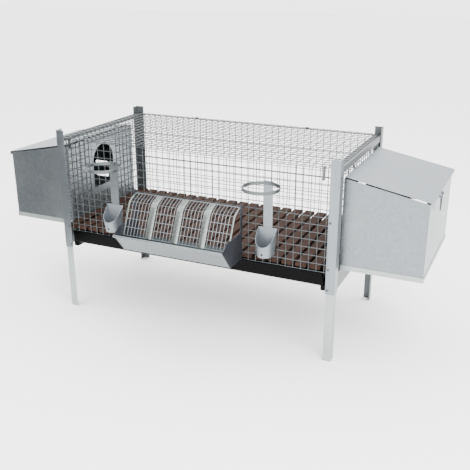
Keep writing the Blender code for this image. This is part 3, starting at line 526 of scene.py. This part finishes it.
# ---------------------------------------------------------------- feeder grille
@dataclass
class Grille:
    """Feeder grille: bright flat ribs and fine wires, bent below the hinge rod."""

    fold: tuple[float, float] = (0.039, 0.015)
    foot: tuple[float, float] = (0.088, 0.117)
    rib: float = 0.023
    edge: float = 0.006
    rib_thickness: float = 0.0014
    bays: int = 4
    wires_per_bay: int = 6
    cross_wires: int = 5
    wire: float = 0.00095
    rod: float = 0.0015
    bend: float = 0.012
    side_play: float = 0.0032
    edge_radius: float = 0.0006
    shortest_edge: float = 0.01
    cross_drop: float = 1.5  # cross wires below the uprights, in wire radii

    def build(self, shop: Workshop) -> None:
        """Builds the ribs and the wires flat, then bends both down."""
        _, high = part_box("feeder_grille")
        joint = next(j for j in frame["record"]["behaviour"]["joints"] if j["name"] == "feeder_grille_hinge")
        pivot = Vector(joint["pos_m"])
        first = math.hypot(*self.fold)
        length = first + math.hypot(self.foot[0] - self.fold[0], self.foot[1] - self.fold[1])
        reach = high[0]
        half = reach - self.side_play
        step = 2 * half / self.bays
        ribs = bmesh.new()
        for i in range(self.bays + 1):
            x = -half + step * i
            width = self.rib
            if i in (0, self.bays):
                width = self.edge
                x += self.edge / 2 if i == 0 else -self.edge / 2
            add_block(
                ribs, (x - width / 2, -length, -self.rib_thickness / 2),
                (x + width / 2, -self.rod, self.rib_thickness / 2),
            )
        edges = [e for e in ribs.edges if abs(e.verts[0].co.y - e.verts[1].co.y) > self.shortest_edge]
        bmesh.ops.bevel(
            ribs, geom=edges, offset=self.edge_radius, segments=2, profile=0.5, affect="EDGES", material=-1,
        )
        wires = bmesh.new()
        clear = step - self.rib
        for i in range(self.bays):
            start = -half + self.rib / 2 + step * i
            for k in range(self.wires_per_bay):
                x = start + clear * (k + 0.5) / self.wires_per_bay
                add_rod(wires, (x, -self.wire, 0), (x, -length + self.wire, 0), self.wire)
        rows = [first + (length - first) * i / (self.cross_wires - 1) for i in range(self.cross_wires)]
        under = -self.wire * self.cross_drop
        for row in rows:
            run = min(row, length - self.wire)
            add_rod(wires, (-half, -run, under), (half, -run, under), self.wire)
        for bm in (ribs, wires):
            self.bend_down(bm, first)
            bmesh.ops.translate(bm, verts=bm.verts, vec=pivot)
        add_rod(wires, (-reach, pivot.y, pivot.z), (reach, pivot.y, pivot.z), self.rod, sides=16)
        shop.place("grille_wires", wires, ANGLE, ["feeder_grille"])
        shop.place("grille_ribs", ribs, BRIGHT, ["feeder_grille"])

    def bend_down(self, bm: bmesh.types.BMesh, first: float) -> None:
        """Bends the flat grille at its fold in five small turns, then tips it down to its slope.

        Args:
            bm: The flat mesh, running from the pivot towards -Y.
            first: Length from the pivot to the fold.
        """
        upper = math.atan2(self.fold[1], self.fold[0])
        lower = math.atan2(self.foot[1] - self.fold[1], self.foot[0] - self.fold[0])
        lines = [first + self.bend * k for k in (-1, -0.5, 0, 0.5, 1)]
        for run in lines:
            everything = bm.verts[:] + bm.edges[:] + bm.faces[:]
            bmesh.ops.bisect_plane(bm, geom=everything, dist=1e-7, plane_co=(0, -run, 0), plane_no=(0, 1, 0))
        flat = {vert: -vert.co.y for vert in bm.verts}
        for run in reversed(lines):
            beyond = [vert for vert in bm.verts if flat[vert] > run + SAME_PLACE]
            turn = Matrix.Rotation((lower - upper) / len(lines), 3, "X")
            bmesh.ops.rotate(bm, verts=beyond, cent=(0, -run, 0), matrix=turn)
        bmesh.ops.rotate(bm, verts=bm.verts, cent=(0, 0, 0), matrix=Matrix.Rotation(upper, 3, "X"))


# ---------------------------------------------------------------- fixings
@dataclass
class Bolts:
    """Dome-headed bolts, each with a hexagon nut behind the leg."""

    head: float = 0.0041
    dome: float = 0.0028
    shank: float = 0.002
    nut: float = 0.0041
    nut_thickness: float = 0.0034
    thread_end: float = 0.0004
    nut_edge: float = 0.0003
    dome_steps: int = 5
    around: int = 20
    shank_sides: int = 14

    def build(self, shop: Workshop) -> None:
        """Builds one piece for every bolt node."""
        for node in sorted(name for name in frame["nodes"] if name.startswith("bolt_") and name[-1].isdigit()):
            self.build_one(node, shop)

    def build_one(self, node: str, shop: Workshop) -> None:
        """Builds one bolt with its head on the outer face.

        Args:
            node: The CAD bolt it stands for.
            shop: Places the piece.
        """
        low, high = (Vector(corner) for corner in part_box(node))
        centre = (low + high) / 2
        inward = 1 if "front" in node else -1
        face = low.y if inward > 0 else high.y
        tail = high.y if inward > 0 else low.y
        bm = bmesh.new()
        steps = self.dome_steps
        profile = [bm.verts.new((0, 0, 0))]
        for i in range(1, steps + 1):
            turn = math.pi / 2 * i / steps
            profile.append(bm.verts.new((self.head * math.sin(turn), self.dome * (1 - math.cos(turn)), 0)))
        profile.append(bm.verts.new((self.shank, self.dome, 0)))
        edges = [bm.edges.new(pair) for pair in zip(profile, profile[1:])]
        bmesh.ops.spin(
            bm, geom=profile + edges, cent=(0, 0, 0), axis=(0, 1, 0), angle=2 * math.pi, steps=self.around,
            use_merge=True,
        )
        bmesh.ops.remove_doubles(bm, verts=bm.verts, dist=SAME_PLACE)
        bmesh.ops.scale(bm, verts=bm.verts, vec=(1, inward, 1))
        bmesh.ops.translate(bm, verts=bm.verts, vec=(centre.x, face, centre.z))
        grip = face + inward * self.dome
        add_rod(bm, (centre.x, grip, centre.z), (centre.x, tail, centre.z), self.shank, sides=self.shank_sides)
        start = tail - inward * (self.nut_thickness + self.thread_end)
        stop = start + inward * self.nut_thickness
        nut = add_rod(bm, (centre.x, start, centre.z), (centre.x, stop, centre.z), self.nut, sides=6)
        rims = [e for e in bm.edges if e.verts[0] in nut and e.verts[1] in nut]
        bmesh.ops.bevel(
            bm, geom=rims, offset=self.nut_edge, segments=1, profile=0.5, affect="EDGES", material=-1,
        )
        bmesh.ops.recalc_face_normals(bm, faces=bm.faces)
        shop.place(node + "_turned", bm, FIXING, [node], sharp=35.0)


# ---------------------------------------------------------------- sheet and angle pieces
@dataclass
class SoftEdges:
    """Copies CAD pieces and rounds their cut and folded edges by a small radius."""

    merge: float = 0.00002
    flat: float = 0.6

    def build(
        self, shop: Workshop, node: str, finish: Finish, radius: float = 0.0004, angle: float = 40.0,
    ) -> None:
        """Makes one softened copy and stands it in for its node.

        Args:
            shop: Places the piece.
            node: The CAD node it copies.
            finish: The finish it gets.
            radius: Width of the rounding.
            angle: Only edges that turn by more than this many degrees are rounded.
        """
        bm = bmesh.new()
        bm.from_mesh(frame["nodes"][node].data)
        bmesh.ops.remove_doubles(bm, verts=bm.verts, dist=self.merge)
        bmesh.ops.dissolve_limit(
            bm, angle_limit=math.radians(self.flat), verts=bm.verts, edges=bm.edges,
            use_dissolve_boundaries=False,
        )
        piece = shop.place(node + "_finished", bm, finish, [node], sharp=angle)
        bevel = piece.modifiers.new("edge_radius", "BEVEL")
        bevel.width = radius
        bevel.segments = 2
        bevel.limit_method = "ANGLE"
        bevel.angle_limit = math.radians(angle)
        bevel.harden_normals = True


@dataclass
class SheetMetal:
    """Angles, rails, nests, feeder body and holders: which finish each gets."""

    edges: SoftEdges = field(default_factory=SoftEdges)
    sheet_edge: float = 0.0003
    trough_edge: float = 0.0002

    def build(self, shop: Workshop) -> None:
        """Softens and dresses every sheet and angle piece."""
        for side in ("left", "right"):
            for end in ("front", "back"):
                # The back posts and legs take the darker rail finish: painted shade on their inner faces,
                # which lie in shadow.
                post, leg = (ANGLE, LEG) if end == "front" else (SHADED_RAIL, SHADED_RAIL)
                self.edges.build(shop, "post_%s_%s" % (end, side), post)
                self.edges.build(shop, "leg_%s_%s" % (end, side), leg)
            # The feeder cheeks take the SHADED finish: painted shade on a side that lies in shadow.
            for stem, finish in (
                ("top_rail", SHADED_RAIL), ("floor_rail", SHADED_RAIL), ("nest_walls", SHEET), ("nest_inner_wall", SHEET),
                ("nest_pan", LEG), ("nest_lid", NEST_LID), ("feeder_cheek", SHADED), ("bottle_strap", SHEET),
            ):
                self.edges.build(shop, "%s_%s" % (stem, side), finish, self.sheet_edge)
            shop.dress("bottle_cup_" + side, NEST_LID)
            shop.dress("nest_bail_" + side, WIRE)
            shop.dress("roof_hinge_" + side, FIXING)
            shop.dress("lid_clip_" + side, FIXING)
            BottleRing(side).build(shop)
        for end in ("front", "back"):
            self.edges.build(shop, "floor_bearer_" + end, SHADED_RAIL, self.sheet_edge)
        self.edges.build(shop, "feed_trough", SHEET, self.trough_edge)


@dataclass
class BottleRing:
    """Band that holds a bottle, with both rims rounded."""

    side: str
    sheet: float = 0.0012
    rim: float = 0.00045
    rim_turn: float = 1.0  # radians: edges that turn by more are rims
    steps: int = 72

    def build(self, shop: Workshop) -> None:
        """Turns the band from its section and stands it in for the CAD ring."""
        node = "bottle_ring_" + self.side
        low, high = (Vector(corner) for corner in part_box(node))
        centre = (low + high) / 2
        outer = (high.x - low.x) / 2
        bm = bmesh.new()
        section = [(outer, low.z), (outer, high.z), (outer - self.sheet, high.z), (outer - self.sheet, low.z)]
        verts = [bm.verts.new((centre.x + r, centre.y, z)) for r, z in section]
        edges = [bm.edges.new((a, b)) for a, b in zip(verts, verts[1:] + verts[:1])]
        bmesh.ops.spin(
            bm, geom=verts + edges, cent=centre, axis=(0, 0, 1), angle=2 * math.pi, steps=self.steps,
            use_merge=True,
        )
        bmesh.ops.remove_doubles(bm, verts=bm.verts, dist=SAME_PLACE)
        rims = [e for e in bm.edges if len(e.link_faces) == 2 and e.calc_face_angle(0) > self.rim_turn]
        bmesh.ops.bevel(
            bm, geom=rims, offset=self.rim, segments=3, profile=0.5, affect="EDGES", material=-1,
        )
        bmesh.ops.recalc_face_normals(bm, faces=bm.faces)
        shop.place("bottle_band_" + self.side, bm, SHADED_RAIL, [node], sharp=50.0)


@dataclass
class FloorAndTray:
    """Slatted mat, dropping tray and its runners."""

    edges: SoftEdges = field(default_factory=SoftEdges)
    slat_edge: float = 0.0022
    runner_edge: float = 0.0004

    def build(self, shop: Workshop) -> None:
        """Rounds the slats' edges and dresses the plastic pieces."""
        self.edges.build(shop, "slatted_floor_mat", SLAT, self.slat_edge)
        shop.dress("dropping_tray", TRAY)
        for side in ("left", "right"):
            self.edges.build(shop, "tray_runner_" + side, RUNNER, self.runner_edge)


# ---------------------------------------------------------------- studio
@dataclass(frozen=True)
class Lamp:
    """A square soft light that faces the cage; its power is in watts."""

    name: str
    place: Point
    size: float
    power: float


LAMPS = (
    Lamp("key_light", (2.6, -2.4, 3.2), 2.6, 230.0),
    Lamp("front_light", (-1.2, -3.4, 1.6), 2.4, 48.0),
    Lamp("top_light", (0.2, 0.6, 3.6), 3.0, 84.0),
)


@dataclass
class Studio:
    """Pale floor, soft light and the camera."""

    camera_place: Point = (1.0209, -2.0590, 1.1474)
    camera_way: Point = (-0.3879, 0.8528, -0.3498)
    lens: float = 53.33
    sensor: float = 36.0
    aim: Point = (0.0, 0.0, 0.35)
    sky: float = 3.6
    floor_size: float = 40.0
    floor_tone: Colour = (0.93, 0.93, 0.93)
    floor_rough: float = 0.9
    card_low: Point = (-4.5, -2.3, 0.02)
    card_high: Point = (-0.85, -0.40, 0.02)
    card_wall: float = 2.4
    card_tone: Colour = (0.02, 0.02, 0.022)
    card_rough: float = 1.0

    def build(self) -> None:
        """Builds everything around the cage."""
        self.add_camera()
        self.add_floor()
        self.add_card()
        self.add_world()
        for lamp in LAMPS:
            self.add_light(lamp)

    def add_camera(self) -> None:
        """Adds the camera and makes it the scene's own."""
        camera = bpy.data.cameras.new("camera")
        camera.lens = self.lens
        camera.sensor_width = self.sensor
        holder = bpy.data.objects.new("camera", camera)
        holder.location = self.camera_place
        holder.rotation_euler = Vector(self.camera_way).to_track_quat("-Z", "Y").to_euler()
        bpy.context.scene.collection.objects.link(holder)
        bpy.context.scene.camera = holder

    def surface(self, name: str, bm: bmesh.types.BMesh, tone: Colour, rough: float) -> bpy.types.Object:
        """Puts a studio surface of one plain tone into the scene.

        Args:
            name: Name of the object, its mesh and its material.
            bm: The mesh; it is freed.
            tone: The surface's colour.
            rough: The surface's roughness.

        Returns:
            The new object.
        """
        mesh = bpy.data.meshes.new(name)
        bm.to_mesh(mesh)
        bm.free()
        made = bpy.data.objects.new(name, mesh)
        bpy.context.scene.collection.objects.link(made)
        material = bpy.data.materials.new(name)
        material.use_nodes = True
        shader = material.node_tree.nodes["Principled BSDF"]
        shader.inputs["Base Color"].default_value = (*tone, 1.0)
        shader.inputs["Roughness"].default_value = rough
        mesh.materials.append(material)
        return made

    def add_floor(self) -> None:
        """Adds the plain pale floor."""
        bm = bmesh.new()
        bmesh.ops.create_grid(bm, x_segments=1, y_segments=1, size=self.floor_size / 2)
        floor = self.surface("studio_floor", bm, self.floor_tone, self.floor_rough)

    def add_card(self) -> None:
        """Adds a dark card to the front left, seen only in the metal, which shades what faces it."""
        low, high = self.card_low, self.card_high
        bm = bmesh.new()
        bmesh.ops.create_grid(bm, x_segments=1, y_segments=1, size=0.5)
        flat = Matrix.Diagonal((high[0] - low[0], high[1] - low[1], 1.0, 1.0))
        middle = [(a + b) / 2 for a, b in zip(low, high)]
        bmesh.ops.transform(bm, matrix=Matrix.Translation(middle) @ flat, verts=bm.verts)
        side = [edge for edge in bm.edges if all(vert.co.y < middle[1] for vert in edge.verts)]
        raised = bmesh.ops.extrude_edge_only(bm, edges=side)["geom"]
        lifted = [item for item in raised if isinstance(item, bmesh.types.BMVert)]
        bmesh.ops.translate(bm, vec=(0.0, 0.0, self.card_wall), verts=lifted)
        card = self.surface("studio_card", bm, self.card_tone, self.card_rough)
        card.visible_camera = False
        card.visible_diffuse = False
        card.visible_shadow = False

    def add_world(self) -> None:
        """Gives the world a plain white light."""
        world = bpy.data.worlds.new("studio")
        world.use_nodes = True
        shade = world.node_tree.nodes["Background"]
        shade.inputs["Color"].default_value = (1.0, 1.0, 1.0, 1.0)
        shade.inputs["Strength"].default_value = self.sky
        bpy.context.scene.world = world

    def add_light(self, lamp: Lamp) -> None:
        """Adds one light and turns it to the cage.

        Args:
            lamp: The light's name, place, size and power.
        """
        light = bpy.data.lights.new(lamp.name, "AREA")
        light.size = lamp.size
        light.energy = lamp.power
        holder = bpy.data.objects.new(lamp.name, light)
        holder.location = lamp.place
        way = Vector(self.aim) - Vector(lamp.place)
        holder.rotation_euler = way.to_track_quat("-Z", "Y").to_euler()
        bpy.context.scene.collection.objects.link(holder)


def main() -> None:
    """Builds the cage's pieces and the studio around them."""
    logging.basicConfig(level=logging.INFO, format="%(name)s: %(message)s")
    shop = Workshop()
    MeshBox().build(shop)
    Grille().build(shop)
    Bolts().build(shop)
    SheetMetal().build(shop)
    FloorAndTray().build(shop)
    Studio().build()


if __name__ == "__main__":
    main()
